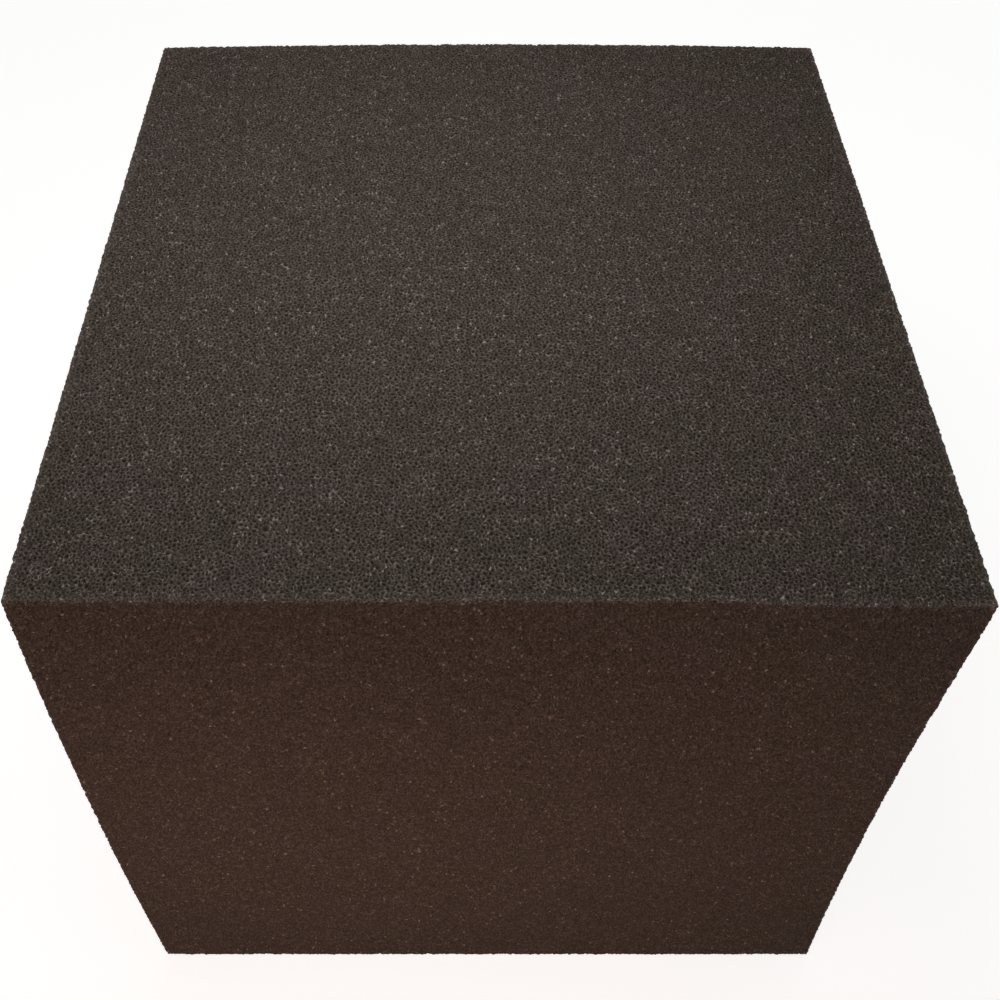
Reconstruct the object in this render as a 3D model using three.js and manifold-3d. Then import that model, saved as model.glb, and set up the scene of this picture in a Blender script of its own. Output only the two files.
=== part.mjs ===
// Corner bass trap: one plain block of charcoal open-cell polyurethane foam.
// It is cut square on all six sides from a larger foam bun, with no cover, frame, backing or fixing.
// Millimetres, +Z up. The front looks along -Y, and the origin is the middle of the base.
import * as THREE from "three";
import { mergeVertices } from "three/addons/utils/BufferGeometryUtils.js";
import Module from "manifold-3d";

const wasm = await Module();
wasm.setup();

// Driving dimensions: the three edges of the block.
const BLOCK_WIDTH = 304.8;
const BLOCK_DEPTH = 304.8;
const BLOCK_HEIGHT = 304.8;

// The cutting wire bends as it is drawn through the bun, so three walls are not quite flat.
// Both side walls bow towards -X, most at mid height, and the back wall swells most at mid width.
const SIDE_BOW = 2.6;
const BACK_BOW = 2.9;

// Flat strips along each bowed wall. The number is odd, so the middle strip is square to the block.
const BOW_STRIPS = 11;

// Each profile is drawn this much longer than the block, so that one cuts the other clean through.
const OVERRUN = 10;

// The bows shift the outline of the block, and half of each brings its middle back to the origin.
const LEFT = SIDE_BOW / 2 - BLOCK_WIDTH / 2;
const RIGHT = SIDE_BOW / 2 + BLOCK_WIDTH / 2;
const FRONT = -BACK_BOW / 2 - BLOCK_DEPTH / 2;
const BACK = -BACK_BOW / 2 + BLOCK_DEPTH / 2;

// What the first pair of cuts leaves, seen from the front, with height along the profile's y.
// A quadratic curve's control point lies twice as far out as the curve itself reaches.
function frontProfile() {
  const middle = BLOCK_HEIGHT / 2;
  const profile = new THREE.Shape();
  profile.moveTo(LEFT, 0);
  profile.lineTo(RIGHT, 0);
  profile.quadraticCurveTo(RIGHT - 2 * SIDE_BOW, middle, RIGHT, BLOCK_HEIGHT);
  profile.lineTo(LEFT, BLOCK_HEIGHT);
  profile.quadraticCurveTo(LEFT - 2 * SIDE_BOW, middle, LEFT, 0);
  return profile;
}

// What the cut of the back wall leaves, seen from above. Its sides lie clear of the side walls.
function planProfile() {
  const middle = (LEFT + RIGHT) / 2;
  const clearLeft = LEFT - SIDE_BOW - OVERRUN;
  const clearRight = RIGHT + OVERRUN;
  const profile = new THREE.Shape();
  profile.moveTo(clearLeft, FRONT);
  profile.lineTo(clearRight, FRONT);
  profile.lineTo(clearRight, BACK);
  profile.lineTo(RIGHT, BACK);
  profile.quadraticCurveTo(middle, BACK + 2 * BACK_BOW, LEFT, BACK);
  profile.lineTo(clearLeft, BACK);
  profile.closePath();
  return profile;
}

function extruded(profile, length) {
  return new THREE.ExtrudeGeometry(profile, {
    depth: length,
    bevelEnabled: false,
    curveSegments: BOW_STRIPS,
  });
}

// A closed geometry as a solid that can be cut.
function solidOf(geometry) {
  const bare = geometry.clone();
  bare.deleteAttribute("normal");
  bare.deleteAttribute("uv");
  const merged = mergeVertices(bare);
  return new wasm.Manifold(
    new wasm.Mesh({
      numProp: 3,
      vertProperties: merged.attributes.position.array,
      triVerts: new Uint32Array(merged.index.array),
    }),
  );
}

// A solid as a geometry with flat faces.
function geometryOf(solid) {
  const mesh = solid.getMesh();
  const shared = new THREE.BufferGeometry();
  shared.setAttribute("position", new THREE.BufferAttribute(mesh.vertProperties, mesh.numProp));
  shared.setIndex(new THREE.BufferAttribute(mesh.triVerts, 1));
  const geometry = shared.toNonIndexed();
  geometry.computeVertexNormals();
  return geometry;
}

// The foam block: the two profiles cross at right angles, and the block is what both leave.
// The front profile is drawn upright and run towards -Y, so it starts behind the back wall.
function foamBlock() {
  const fromFront = extruded(frontProfile(), BLOCK_DEPTH + BACK_BOW + 2 * OVERRUN);
  fromFront.rotateX(Math.PI / 2);
  fromFront.translate(0, BACK + BACK_BOW + OVERRUN, 0);
  const fromAbove = extruded(planProfile(), BLOCK_HEIGHT + 2 * OVERRUN);
  fromAbove.translate(0, 0, -OVERRUN);
  const foam = new THREE.MeshStandardMaterial({ color: 0x40372f, roughness: 0.95, metalness: 0 });
  const block = new THREE.Mesh(geometryOf(solidOf(fromFront).intersect(solidOf(fromAbove))), foam);
  block.name = "foam_block";
  return block;
}

const bassTrap = new THREE.Group();
bassTrap.add(foamBlock());

export default bassTrap;
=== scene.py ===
import math
from functools import partial

import bpy
import numpy as np
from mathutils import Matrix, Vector
from mathutils.geometry import delaunay_2d_cdt


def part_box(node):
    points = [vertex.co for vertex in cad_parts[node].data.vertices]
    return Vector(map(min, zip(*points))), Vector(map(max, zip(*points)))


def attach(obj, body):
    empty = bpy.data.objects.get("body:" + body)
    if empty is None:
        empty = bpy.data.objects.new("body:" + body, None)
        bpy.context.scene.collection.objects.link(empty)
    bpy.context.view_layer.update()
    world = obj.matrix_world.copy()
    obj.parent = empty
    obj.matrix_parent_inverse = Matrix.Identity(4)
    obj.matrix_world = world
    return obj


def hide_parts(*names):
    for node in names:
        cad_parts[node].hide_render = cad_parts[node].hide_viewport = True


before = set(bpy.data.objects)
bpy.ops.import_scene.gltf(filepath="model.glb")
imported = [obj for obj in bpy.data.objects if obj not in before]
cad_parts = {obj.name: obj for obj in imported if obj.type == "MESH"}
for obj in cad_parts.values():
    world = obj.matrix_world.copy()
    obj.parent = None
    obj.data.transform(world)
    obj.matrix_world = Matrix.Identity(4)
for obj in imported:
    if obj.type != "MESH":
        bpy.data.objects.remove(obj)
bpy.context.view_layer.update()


# The camera: it stands in front of the block and above it, just left of its middle, and looks down.
# The photograph is a crop from the lower right of a larger picture, so the lens is shifted.
SENSOR_WIDTH = 36.0
FOCAL_LENGTH_PIXELS = 1276.7
PICTURE_PIXELS = 1000
AXIS_PIXEL = (466.5, 347.8)
CAMERA_PLACE = (-0.0086, -0.36935, 0.6388)
LOOKS_DOWN = math.radians(45.941)

lens = bpy.data.cameras.new("camera")
lens.sensor_width = SENSOR_WIDTH
lens.lens = SENSOR_WIDTH * FOCAL_LENGTH_PIXELS / PICTURE_PIXELS
lens.shift_x = (PICTURE_PIXELS / 2 - AXIS_PIXEL[0]) / PICTURE_PIXELS
lens.shift_y = (AXIS_PIXEL[1] - PICTURE_PIXELS / 2) / PICTURE_PIXELS
camera = bpy.data.objects.new("camera", lens)
camera.location = CAMERA_PLACE
camera.rotation_euler = (math.pi / 2 - LOOKS_DOWN, 0.0, 0.0)
bpy.context.scene.collection.objects.link(camera)
bpy.context.scene.camera = camera


# The foam block: one cube of open-cell polyurethane foam, charcoal all through, wire cut on all six
# sides. The cut opens every cell that it crosses, so each wall is a sheet of small dark pits between
# lighter strut ends. Its walls bow as the plain solid's do, and one corner of the front leans out.
cad_low, cad_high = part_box("foam_block")
block_edge = cad_high.z - cad_low.z
SIDE_BOW = 0.0026
BACK_BOW = 0.0029
CORNER_LEAN = (0.0003, -0.0013, -0.0010)
LEAN_SHARE = (0.36, 0.75)
CELL_PITCH = 0.00135
STRAY_SHARE = 0.8
ROW_STRAY_SHARE = 0.3
STRUT_RISE = 0.0003
RISE_POWER = 3.0
PIT_DEPTH = (0.0004, 0.0009)
OPEN_SHARE = (0.3, 1.0)
FULL_PIT_SHARE = 0.6
EDGE_PIT_SHARE = -0.2
SQUARE_TO_WALL = (0.8, 0.9)
EDGE_REACH = 0.004
FILM_SHARE = 0.005
SAME_PLACE = 1e-6
LEAST_PIT_SHARE = 1e-6
SEED = 7

SHADED_COLOUR = "#1a120a"
LIT_COLOUR = ("#4d4741", "#4f4744")
CLOUD_SIZE = 0.02
CLOUD_DETAIL = 1.0
CLOUD_RANGE = (0.35, 0.65)
FILM_AND_GLINT_COLOUR = "#8c837b"
PAINTED_PIT_SHADE = 0.04
EDGE_PAINTED_SHADE_FADE = 0.5
PAINTED_RIM_LIGHT_GAIN = 0.55
PAINTED_RIM_LIGHT_POWER = 8.0
PAINTED_FACET_SHADE = (0.68, 1.32)
STRUT_SHADE = (0.8, 2.2)
STRUT_POWER = 5.0
GRAIN_SIZE = 0.00035
GRAIN_RANGE = 3.4
GRAIN_MIDDLE = 0.5
PAINTED_GLINT_GAIN = 0.9
PAINTED_GLINT_POWER = 8.0
WALL_GRAIN_SHARE = 0.7
MEAN_SHADE = 0.8
TOP_DEPTH = (0.002, 0.001)
FOAM_ROUGHNESS = 0.8
FILM_ROUGHNESS = 0.3
FOAM_SPECULAR = 0.05


def linear(code):
    """An sRGB hex colour as the linear values that Blender's sockets hold."""
    shares = [int(code[i:i + 2], 16) / 255 for i in (1, 3, 5)]
    return (*[s / 12.92 if s <= 0.04045 else ((s + 0.055) / 1.055) ** 2.4 for s in shares], 1.0)


def add_node(tree, kind, inputs=None, **settings):
    """Adds one node and returns its outputs. An input is a value, or the output that feeds it."""
    node = tree.nodes.new(kind)
    for name, value in settings.items():
        setattr(node, name, value)
    for name, value in (inputs or {}).items():
        if isinstance(value, bpy.types.NodeSocket):
            tree.links.new(value, node.inputs[name])
        else:
            node.inputs[name].default_value = value
    return node.outputs


def cut_foam_material():
    """Open-cell polyurethane, wire cut: dull all over, with painted shade down in the cells, painted
    glints, and shiny films, pale with a painted glint.
    """
    foam = bpy.data.materials.new("open_cell_foam")
    foam.use_nodes = True
    foam.node_tree.nodes.clear()
    add = partial(add_node, foam.node_tree)

    place = add("ShaderNodeTexCoord")["Object"]
    pit = add("ShaderNodeAttribute", attribute_name="pit")["Fac"]
    film = add("ShaderNodeAttribute", attribute_name="film")["Fac"]
    facet = add("ShaderNodeAttribute", attribute_name="facet_shade")["Fac"]
    strut = add("ShaderNodeAttribute", attribute_name="strut_shade")["Fac"]
    edge = add("ShaderNodeAttribute", attribute_name="edge")["Fac"]

    # Light gets into the foam from both sides of an edge, and this light is painted in: the pits
    # there get less painted shade, and the rim itself is painted as the palest line on the block.
    fade = add("ShaderNodeMapRange", {0: edge, 3: 1.0, 4: 1 - EDGE_PAINTED_SHADE_FADE})[0]
    pit = add("ShaderNodeMath", {0: pit, 1: fade}, operation="MULTIPLY")[0]
    # Down in the pits the colour is darkened: painted shade.
    painted_pit_shade = add("ShaderNodeMapRange", {
        0: pit, 2: FULL_PIT_SHARE, 3: 1.0, 4: PAINTED_PIT_SHADE,
    }, interpolation_type="SMOOTHSTEP")[0]
    rim = add("ShaderNodeMath", {0: edge, 1: PAINTED_RIM_LIGHT_POWER}, operation="POWER")[0]
    rim = add("ShaderNodeMapRange", {0: rim, 3: 1.0, 4: 1 + PAINTED_RIM_LIGHT_GAIN})[0]
    strut = add("ShaderNodeMath", {0: strut, 1: STRUT_POWER}, operation="POWER")[0]
    strut = add("ShaderNodeMapRange", {0: strut, 3: STRUT_SHADE[0], 4: STRUT_SHADE[1]})[0]
    facet = add("ShaderNodeMapRange", {0: facet, 3: PAINTED_FACET_SHADE[0], 4: PAINTED_FACET_SHADE[1]})[0]

    # Strut ends and scraps of membrane, each with a shade of its own. The real ones are about 0.1 mm
    # across, too fine to show, so they are drawn as coarser grains.
    grain = add("ShaderNodeTexVoronoi", {"Vector": place, "Scale": 1 / GRAIN_SIZE})["Color"]
    grain = add("ShaderNodeSeparateColor", {0: grain})[0]
    # The palest grains are brightened further: painted glints.
    painted_glint = add("ShaderNodeMath", {0: grain, 1: PAINTED_GLINT_POWER}, operation="POWER")[0]
    painted_glint = add("ShaderNodeMath", {0: painted_glint, 1: PAINTED_GLINT_GAIN}, operation="MULTIPLY")[0]
    grain = add("ShaderNodeMath", {0: grain, 1: GRAIN_MIDDLE}, operation="SUBTRACT")[0]
    grain = add("ShaderNodeMath", {0: GRAIN_RANGE, 1: grain}, operation="POWER")[0]
    shade = add("ShaderNodeMath", {0: grain, 1: painted_glint})[0]
    for part in (facet, strut, painted_pit_shade, rim):
        shade = add("ShaderNodeMath", {0: shade, 1: part}, operation="MULTIPLY")[0]

    # The grain, with its painted pit shade and glints, is quieter on the walls than on the top, as
    # the photograph shows: in part this stands in for the softer light on the walls.
    height = add("ShaderNodeSeparateXYZ", {0: place})[2]
    contrast = add("ShaderNodeMapRange", {
        0: height, 1: block_edge - TOP_DEPTH[0], 2: block_edge - TOP_DEPTH[1], 3: WALL_GRAIN_SHARE,
    })[0]
    shade = add("ShaderNodeMix", {0: contrast, 2: MEAN_SHADE, 3: shade}, data_type="FLOAT")[0]

    # The dye took a little unevenly, in clouds.
    cloud = add("ShaderNodeTexNoise", {
        "Vector": place, "Scale": 1 / CLOUD_SIZE, "Detail": CLOUD_DETAIL,
    })[0]
    cloud = add("ShaderNodeMapRange", {0: cloud, 1: CLOUD_RANGE[0], 2: CLOUD_RANGE[1]})[0]
    lit = add("ShaderNodeMix", {
        0: cloud, 6: linear(LIT_COLOUR[0]), 7: linear(LIT_COLOUR[1]),
    }, data_type="RGBA")[2]
    cell = add("ShaderNodeVectorMath", {
        0: lit, 1: shade, 2: linear(SHADED_COLOUR)[:3],
    }, operation="MULTIPLY_ADD")[0]
    # A few facets hold a scrap of film: glossier, and pale with a painted glint.
    colour = add("ShaderNodeMix", {0: film, 6: cell, 7: linear(FILM_AND_GLINT_COLOUR)}, data_type="RGBA")[2]
    rough = add("ShaderNodeMapRange", {0: film, 3: FOAM_ROUGHNESS, 4: FILM_ROUGHNESS})[0]
    skin = add("ShaderNodeBsdfPrincipled", {
        "Base Color": colour, "Roughness": rough, "Specular IOR Level": FOAM_SPECULAR,
    })[0]
    add("ShaderNodeOutputMaterial", {"Surface": skin})
    return foam


def strewn_walls(edge, pitch, seed):
    """A cube whose walls are triangles between points strewn over them, one point for each cell."""
    whole_hull = 0
    no_merging = 0.0
    count = round(edge / pitch)
    pitch = edge / count
    half = edge / 2
    chance = np.random.default_rng(seed)
    line = np.arange(1, count) * pitch - half
    grid = np.stack(np.meshgrid(line, line), -1).reshape(-1, 2)

    # Two walls meet at each edge of the cube and share its row of points.
    rows = {}
    for along in range(3):
        for first in (-1, 1):
            for second in (-1, 1):
                stray = chance.uniform(-ROW_STRAY_SHARE, ROW_STRAY_SHARE, len(line)) * pitch
                rows[along, first, second] = line + stray

    # A wall's points are strewn in its own plane, joined there, and then placed in the cube.
    points = []
    faces = []
    for axis in range(3):
        right = (axis + 1) % 3
        up = (axis + 2) % 3
        for side in (-1, 1):
            wall = [grid + chance.uniform(-STRAY_SHARE, STRAY_SHARE, grid.shape) * pitch]
            for other in (-1, 1):
                rim = np.full(len(line), other * half)
                wall.append(np.stack([rim, rows[up, side, other]], 1))
                wall.append(np.stack([rows[right, other, side], rim], 1))
                wall.append(np.array([(other * half, -half), (other * half, half)]))
            wall = np.concatenate(wall)
            joined = delaunay_2d_cdt(wall.tolist(), [], [], whole_hull, no_merging, False)[2]
            faces.append(np.array(joined)[:, ::side] + sum(map(len, points)))
            placed = np.empty((len(wall), 3))
            placed[:, axis] = side * half
            placed[:, right] = wall[:, 0]
            placed[:, up] = wall[:, 1]
            points.append(placed)
    points = np.concatenate(points)
    faces = np.concatenate(faces)

    mesh = bpy.data.meshes.new("strewn_walls")
    mesh.vertices.add(len(points))
    mesh.vertices.foreach_set("co", points.ravel())
    mesh.loops.add(faces.size)
    mesh.loops.foreach_set("vertex_index", faces.ravel())
    mesh.polygons.add(len(faces))
    mesh.polygons.foreach_set("loop_start", np.arange(0, faces.size, 3))
    mesh.update(calc_edges=True)
    return mesh


def cut_foam_tree():
    """Turns the strewn walls into sheets of open cells, each with a pit in it."""
    tree = bpy.data.node_groups.new("cut_foam", "GeometryNodeTree")
    for name, kind in (
        ("Walls", "NodeSocketGeometry"),
        ("Size", "NodeSocketVector"),
        ("Strut Rise", "NodeSocketFloat"),
        ("Shallow Pit", "NodeSocketFloat"),
        ("Deep Pit", "NodeSocketFloat"),
        ("Edge Pit Share", "NodeSocketFloat"),
        ("Edge Reach", "NodeSocketFloat"),
        ("Least Open Share", "NodeSocketFloat"),
        ("Most Open Share", "NodeSocketFloat"),
        ("Film Share", "NodeSocketFloat"),
        ("Side Bow", "NodeSocketFloat"),
        ("Back Bow", "NodeSocketFloat"),
        ("Corner Lean", "NodeSocketVector"),
        ("Lean From Share", "NodeSocketFloat"),
        ("Lean To Share", "NodeSocketFloat"),
        ("Seed", "NodeSocketInt"),
        ("Foam", "NodeSocketMaterial"),
    ):
        tree.interface.new_socket(name, in_out="INPUT", socket_type=kind)
    tree.interface.new_socket("Block", in_out="OUTPUT", socket_type="NodeSocketGeometry")
    add = partial(add_node, tree)
    given = add("NodeGroupInput")

    def seed(turn):
        """A seed of its own for each thing that is left to chance."""
        return add("ShaderNodeMath", {0: given["Seed"], 1: float(turn)})[0]

    # The points of the walls are the middles of the cells, and the dual's points are the ends of the
    # struts between them.
    joined = add("GeometryNodeMergeByDistance", {
        "Geometry": given["Walls"], "Distance": SAME_PLACE,
    })[0]
    cells = add("GeometryNodeDualMesh", {"Mesh": joined})[0]

    # How near a point lies to an edge of the block: 1 on the edge, 0 a reach away from it. Each
    # point is near one wall, its own, so the nearness to the others is what is left over.
    half = add("ShaderNodeVectorMath", {0: given["Size"], "Scale": 0.5}, operation="SCALE")[0]
    place = add("GeometryNodeInputPosition")[0]
    out = add("ShaderNodeVectorMath", {0: place}, operation="ABSOLUTE")[0]
    room = add("ShaderNodeVectorMath", {0: half, 1: out}, operation="SUBTRACT")[0]
    room = add("ShaderNodeVectorMath", {0: room, 1: given["Edge Reach"]}, operation="DIVIDE")[0]
    near = add("ShaderNodeVectorMath", {0: (1.0, 1.0, 1.0), 1: room}, operation="SUBTRACT")[0]
    near = add("ShaderNodeVectorMath", {0: near, 1: (0.0, 0.0, 0.0)}, operation="MAXIMUM")[0]
    near = add("ShaderNodeVectorMath", {0: near, 1: (1.0, 1.0, 1.0)}, operation="DOT_PRODUCT")[1]
    near = add("ShaderNodeMath", {0: near, 1: 1.0}, operation="SUBTRACT", use_clamp=True)[0]
    cells = add("GeometryNodeStoreNamedAttribute", {
        "Geometry": cells, "Name": "edge", "Value": near,
    })[0]

    # The strut ends stand above the cut, most of them by little.
    normal = add("GeometryNodeInputNormal")[0]
    chance = add("FunctionNodeRandomValue", {"Seed": seed(2)})[1]
    tall = add("ShaderNodeMath", {0: chance, 1: RISE_POWER}, operation="POWER")[0]
    tall = add("ShaderNodeMath", {0: tall, 1: given["Strut Rise"]}, operation="MULTIPLY")[0]
    lift = add("ShaderNodeVectorMath", {0: normal, "Scale": tall}, operation="SCALE")[0]
    struts = add("GeometryNodeSetPosition", {"Geometry": cells, "Offset": lift})[0]
    strut_shade = add("FunctionNodeRandomValue", {"Seed": seed(3)})[1]
    struts = add("GeometryNodeStoreNamedAttribute", {
        "Geometry": struts, "Name": "strut_shade", "Value": strut_shade,
    })[0]

    # Each cell is pitted to its own depth. Those that wrap round an edge of the block are filled out.
    across = add("ShaderNodeSeparateXYZ", {
        0: add("ShaderNodeVectorMath", {0: normal}, operation="ABSOLUTE")[0],
    })
    square = add("ShaderNodeMath", {0: across[0], 1: across[1]}, operation="MAXIMUM")[0]
    square = add("ShaderNodeMath", {0: square, 1: across[2]}, operation="MAXIMUM")[0]
    share = add("ShaderNodeMapRange", {
        0: square, 1: SQUARE_TO_WALL[0], 2: SQUARE_TO_WALL[1], 3: given["Edge Pit Share"],
    })[0]
    depth = add("FunctionNodeRandomValue", {
        2: given["Shallow Pit"], 3: given["Deep Pit"], "Seed": seed(4),
    })[1]
    depth = add("ShaderNodeMath", {0: depth, 1: share}, operation="MULTIPLY")[0]
    inwards = add("ShaderNodeMath", {0: depth, 1: -1.0}, operation="MULTIPLY")[0]
    sunk = add("GeometryNodeExtrudeMesh", {"Mesh": struts, "Offset Scale": inwards})
    pointed = add("GeometryNodeScaleElements", {
        "Geometry": sunk["Mesh"], "Selection": sunk["Top"], "Scale": 0.0,
    })[0]
    opened = add("FunctionNodeRandomValue", {
        2: given["Least Open Share"], 3: given["Most Open Share"], "Seed": seed(7),
    })[1]
    is_sunk = add("FunctionNodeCompare", {0: depth, 1: 0.0}, operation="GREATER_THAN")[0]
    opened = add("ShaderNodeMath", {0: opened, 1: is_sunk}, operation="MULTIPLY")[0]
    deep = add("ShaderNodeMath", {0: opened, 1: sunk["Top"]}, operation="MULTIPLY")[0]
    pitted = add("GeometryNodeStoreNamedAttribute", {
        "Geometry": pointed, "Name": "pit", "Value": deep,
    })[0]
    pitted = add("GeometryNodeMergeByDistance", {"Geometry": pitted, "Distance": SAME_PLACE})[0]

    # Every facet of a pit gets a painted shade of its own, as if it caught the light its own way, and
    # a few hold a scrap of film.
    facet_shade = add("FunctionNodeRandomValue", {"Seed": seed(5)})[1]
    pitted = add("GeometryNodeStoreNamedAttribute", {
        "Geometry": pitted, "Name": "facet_shade", "Value": facet_shade,
    }, domain="FACE")[0]
    filmed = add("FunctionNodeRandomValue", {
        "Probability": given["Film Share"], "Seed": seed(6),
    }, data_type="BOOLEAN")[3]
    pitted = add("GeometryNodeStoreNamedAttribute", {
        "Geometry": pitted, "Name": "film", "Value": filmed,
    }, domain="FACE")[0]

    # The side walls bow towards -X, most at mid height, and the back wall swells, most at mid width.
    # A share here runs from -1 to 1 across the block. Half of each bow is taken off, as in the solid.
    place = add("GeometryNodeInputPosition")[0]
    share = add("ShaderNodeVectorMath", {0: place, 1: half}, operation="DIVIDE")[0]
    share = add("ShaderNodeSeparateXYZ", {0: share})
    high_bow = add("ShaderNodeMath", {0: share[2], 1: share[2]}, operation="MULTIPLY")[0]
    to_side = add("ShaderNodeMath", {0: high_bow, 1: 0.5}, operation="SUBTRACT")[0]
    to_side = add("ShaderNodeMath", {0: to_side, 1: given["Side Bow"]}, operation="MULTIPLY")[0]
    wide_bow = add("ShaderNodeMath", {0: share[0], 1: share[0]}, operation="MULTIPLY")[0]
    wide_bow = add("ShaderNodeMath", {0: 1.0, 1: wide_bow}, operation="SUBTRACT")[0]
    behind = add("ShaderNodeMapRange", {0: share[1], 1: -1.0})[0]
    to_back = add("ShaderNodeMath", {0: wide_bow, 1: behind}, operation="MULTIPLY")[0]
    to_back = add("ShaderNodeMath", {0: to_back, 1: 0.5}, operation="SUBTRACT")[0]
    to_back = add("ShaderNodeMath", {0: to_back, 1: given["Back Bow"]}, operation="MULTIPLY")[0]
    half_high = add("ShaderNodeSeparateXYZ", {0: half})[2]
    bow = add("ShaderNodeCombineXYZ", {0: to_side, 1: to_back, 2: half_high})[0]

    # The front's upper right corner was cut a little full: it leans out and down.
    rightwards = add("ShaderNodeMapRange", {
        0: share[0], 1: given["Lean From Share"], 2: given["Lean To Share"],
    }, interpolation_type="SMOOTHSTEP")[0]
    forwards = add("ShaderNodeMapRange", {
        0: share[1], 2: -1.0,
    }, interpolation_type="SMOOTHSTEP")[0]
    upwards = add("ShaderNodeMapRange", {0: share[2]}, interpolation_type="SMOOTHSTEP")[0]
    lean = add("ShaderNodeMath", {0: rightwards, 1: forwards}, operation="MULTIPLY")[0]
    lean = add("ShaderNodeMath", {0: lean, 1: upwards}, operation="MULTIPLY")[0]
    lean = add("ShaderNodeVectorMath", {
        0: given["Corner Lean"], "Scale": lean,
    }, operation="SCALE")[0]
    shift = add("ShaderNodeVectorMath", {0: bow, 1: lean})[0]
    bowed = add("GeometryNodeSetPosition", {"Geometry": pitted, "Offset": shift})[0]

    # The base is pressed flat where it rests.
    place = add("ShaderNodeSeparateXYZ", {0: add("GeometryNodeInputPosition")[0]})
    height = add("ShaderNodeMath", {0: place[2], 1: 0.0}, operation="MAXIMUM")[0]
    resting = add("ShaderNodeCombineXYZ", {0: place[0], 1: place[1], 2: height})[0]
    rested = add("GeometryNodeSetPosition", {"Geometry": bowed, "Position": resting})[0]

    # Each pit is smooth inside and has a crisp rim.
    whole = add("GeometryNodeRealizeInstances", {0: rested})[0]
    smooth = add("GeometryNodeSetShadeSmooth", {"Geometry": whole})[0]
    inside = add("GeometryNodeInputNamedAttribute", {"Name": "pit"})[0]
    rim = add("FunctionNodeCompare", {0: inside, 1: LEAST_PIT_SHARE}, operation="LESS_THAN")[0]
    crisp = add("GeometryNodeSetShadeSmooth", {
        "Geometry": smooth, "Selection": rim, "Shade Smooth": False,
    }, domain="EDGE")[0]
    dressed = add("GeometryNodeSetMaterial", {"Geometry": crisp, "Material": given["Foam"]})[0]
    add("NodeGroupOutput", {"Block": dressed})
    return tree


carrier = bpy.data.objects.new("foam_carrier", strewn_walls(block_edge, CELL_PITCH, SEED))
bpy.context.scene.collection.objects.link(carrier)
cut = carrier.modifiers.new("cut_foam", "NODES")
cut.node_group = cut_foam_tree()
foam_inputs = {
    "Size": (block_edge, block_edge, block_edge),
    "Strut Rise": STRUT_RISE,
    "Shallow Pit": PIT_DEPTH[0],
    "Deep Pit": PIT_DEPTH[1],
    "Edge Pit Share": EDGE_PIT_SHARE,
    "Edge Reach": EDGE_REACH,
    "Least Open Share": OPEN_SHARE[0],
    "Most Open Share": OPEN_SHARE[1],
    "Film Share": FILM_SHARE,
    "Side Bow": SIDE_BOW,
    "Back Bow": BACK_BOW,
    "Corner Lean": CORNER_LEAN,
    "Lean From Share": LEAN_SHARE[0],
    "Lean To Share": LEAN_SHARE[1],
    "Seed": SEED,
    "Foam": cut_foam_material(),
}
for socket in cut.node_group.interface.items_tree:
    if socket.name in foam_inputs:
        cut[socket.identifier] = foam_inputs[socket.name]
depsgraph = bpy.context.evaluated_depsgraph_get()
foam_mesh = bpy.data.meshes.new_from_object(
    carrier.evaluated_get(depsgraph), preserve_all_data_layers=True, depsgraph=depsgraph)
bpy.data.objects.remove(carrier)
foam_mesh.name = "cut_foam_block"
cut_foam_block = bpy.data.objects.new("cut_foam_block", foam_mesh)
bpy.context.scene.collection.objects.link(cut_foam_block)

MAP_SQUARES = (3, 2)
WALL_ON_MAP_SHARE = 0.97


def unfold(mesh, middle, half):
    """Lays the six walls side by side on a flat map, each in a square of its own."""
    points = np.empty(len(mesh.vertices) * 3, np.float32)
    mesh.vertices.foreach_get("co", points)
    corners = np.empty(len(mesh.loops), np.int32)
    mesh.loops.foreach_get("vertex_index", corners)
    faces = np.empty(len(mesh.polygons) * 3, np.float32)
    mesh.polygons.foreach_get("center", faces)
    sides = np.empty(len(mesh.polygons), np.int32)
    mesh.polygons.foreach_get("loop_total", sides)
    share = (points.reshape(-1, 3)[corners] - middle) / half
    face_share = (faces.reshape(-1, 3) - middle) / half
    axis = np.abs(face_share).argmax(1)
    outwards = face_share[np.arange(len(axis)), axis] > 0
    axis = np.repeat(axis, sides)
    outwards = np.repeat(outwards, sides)
    rows = np.arange(len(corners))
    across = share[rows, (axis + 1) % 3] * WALL_ON_MAP_SHARE
    up = share[rows, (axis + 2) % 3] * WALL_ON_MAP_SHARE
    flat = np.stack([
        (axis + 0.5 + across / 2) / MAP_SQUARES[0],
        (outwards + 0.5 + up / 2) / MAP_SQUARES[1],
    ], 1)
    layer = mesh.uv_layers.new(name="OFBake")
    layer.uv.foreach_set("vector", flat.astype(np.float32).ravel())


unfold(foam_mesh, np.array((cad_low + cad_high) / 2), np.array((cad_high - cad_low) / 2))

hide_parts("foam_block")
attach(cut_foam_block, "root")


# The studio: a plain pale floor in a white room. A soft lamp hangs close over the block, and a warmer
# one stands close in front of it, a little to the left. Three long ones stand far off on the other
# sides and light the walls there.
FLOOR_COLOUR = "#b4b1ad"
SEEN_FLOOR_COLOUR = "#cccac8"
FLOOR_GLOW = 0.82
FLOOR_REACH = 3.0
ROOM_COLOUR = "#ffffff"
ROOM_FILL = 0.15


def in_view(tree):
    """1 for a ray that shows the background: from the camera, off gloss or through glass."""
    ray = add_node(tree, "ShaderNodeLightPath")
    seen = add_node(tree, "ShaderNodeMath", {0: ray["Is Camera Ray"], 1: ray["Is Glossy Ray"]})[0]
    return add_node(tree, "ShaderNodeMath", {
        0: seen, 1: ray["Is Transmission Ray"],
    }, use_clamp=True)[0]


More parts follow.
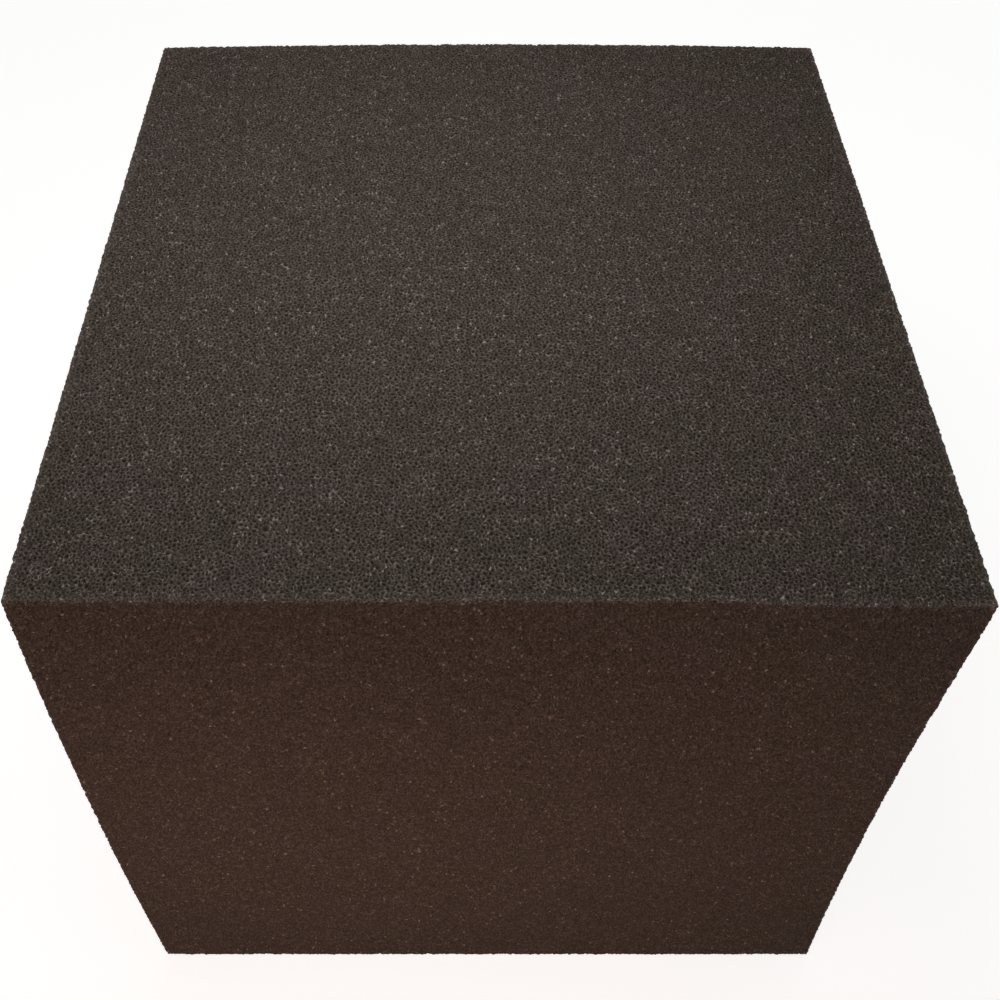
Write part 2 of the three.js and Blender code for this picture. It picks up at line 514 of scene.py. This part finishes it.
def pale_floor_material():
    """Matt paint. In view it also glows, so that it is near white and still takes a soft shadow."""
    paint = bpy.data.materials.new("pale_floor")
    paint.use_nodes = True
    paint.node_tree.nodes.clear()
    add = partial(add_node, paint.node_tree)
    seen = in_view(paint.node_tree)
    colour = add("ShaderNodeMix", {
        0: seen, 6: linear(FLOOR_COLOUR), 7: linear(SEEN_FLOOR_COLOUR),
    }, data_type="RGBA")[2]
    matt = add("ShaderNodeBsdfDiffuse", {"Color": colour})[0]
    glow = add("ShaderNodeMath", {0: seen, 1: FLOOR_GLOW}, operation="MULTIPLY")[0]
    glowing = add("ShaderNodeEmission", {"Strength": glow})[0]
    both = add("ShaderNodeAddShader", {0: matt, 1: glowing})[0]
    add("ShaderNodeOutputMaterial", {"Surface": both})
    return paint


def white_room():
    """Dim and even light from all round, which in view is plain white."""
    room = bpy.data.worlds.new("white_room")
    room.use_nodes = True
    room.node_tree.nodes.clear()
    add = partial(add_node, room.node_tree)
    strength = add("ShaderNodeMapRange", {0: in_view(room.node_tree), 3: ROOM_FILL})[0]
    backdrop = add("ShaderNodeBackground", {"Color": linear(ROOM_COLOUR), "Strength": strength})[0]
    add("ShaderNodeOutputWorld", {"Surface": backdrop})
    return room


floor_mesh = bpy.data.meshes.new("floor")
floor_corners = [(-FLOOR_REACH, -FLOOR_REACH, 0), (FLOOR_REACH, -FLOOR_REACH, 0),
                 (FLOOR_REACH, FLOOR_REACH, 0), (-FLOOR_REACH, FLOOR_REACH, 0)]
floor_mesh.from_pydata(floor_corners, [], [(0, 1, 2, 3)])
floor_mesh.materials.append(pale_floor_material())
floor = bpy.data.objects.new("floor", floor_mesh)
bpy.context.scene.collection.objects.link(floor)
bpy.context.scene.world = white_room()

WHITE_LIGHT = "#ffffff"
WARM_LIGHT = "#ffbfa4"


def soft_lamp(name, place, width, height, watts, colour=WHITE_LIGHT):
    """A soft box that faces the middle of the block. The camera doesn't see it."""
    light = bpy.data.lights.new(name, "AREA")
    light.shape = "RECTANGLE"
    light.size = width
    light.size_y = height
    light.energy = watts
    light.color = linear(colour)[:3]
    lamp = bpy.data.objects.new(name, light)
    lamp.location = place
    aim = (cad_low + cad_high) / 2 - Vector(place)
    lamp.rotation_euler = aim.to_track_quat("-Z", "Y").to_euler()
    lamp.visible_camera = False
    bpy.context.scene.collection.objects.link(lamp)


soft_lamp("lamp_above", place=(-0.05, -0.01, 0.61), width=0.25, height=0.25, watts=0.9)
soft_lamp("lamp_front", place=(-0.08, -0.45, 0.18), width=0.3, height=0.2, watts=0.44,
          colour=WARM_LIGHT)

# The long lamps stand past the floor's edge and no higher than the block, so its top stays as it is.
PAST_FLOOR = 0.2
LONG_LAMP_AWAY = FLOOR_REACH + PAST_FLOOR
LONG_LAMP_LEVEL = 0.15
LONG_LAMP = {"width": 3.2, "height": 0.3}
SIDE_LAMP_SHIFT = 0.1
soft_lamp("lamp_behind", place=(0.0, LONG_LAMP_AWAY, LONG_LAMP_LEVEL), watts=58.0, **LONG_LAMP)
for name, away, watts in (("lamp_left", -LONG_LAMP_AWAY, 42.0), ("lamp_right", LONG_LAMP_AWAY, 50.0)):
    soft_lamp(name, place=(away, SIDE_LAMP_SHIFT, LONG_LAMP_LEVEL), watts=watts, **LONG_LAMP)

bpy.context.scene.view_settings.view_transform = "Standard"
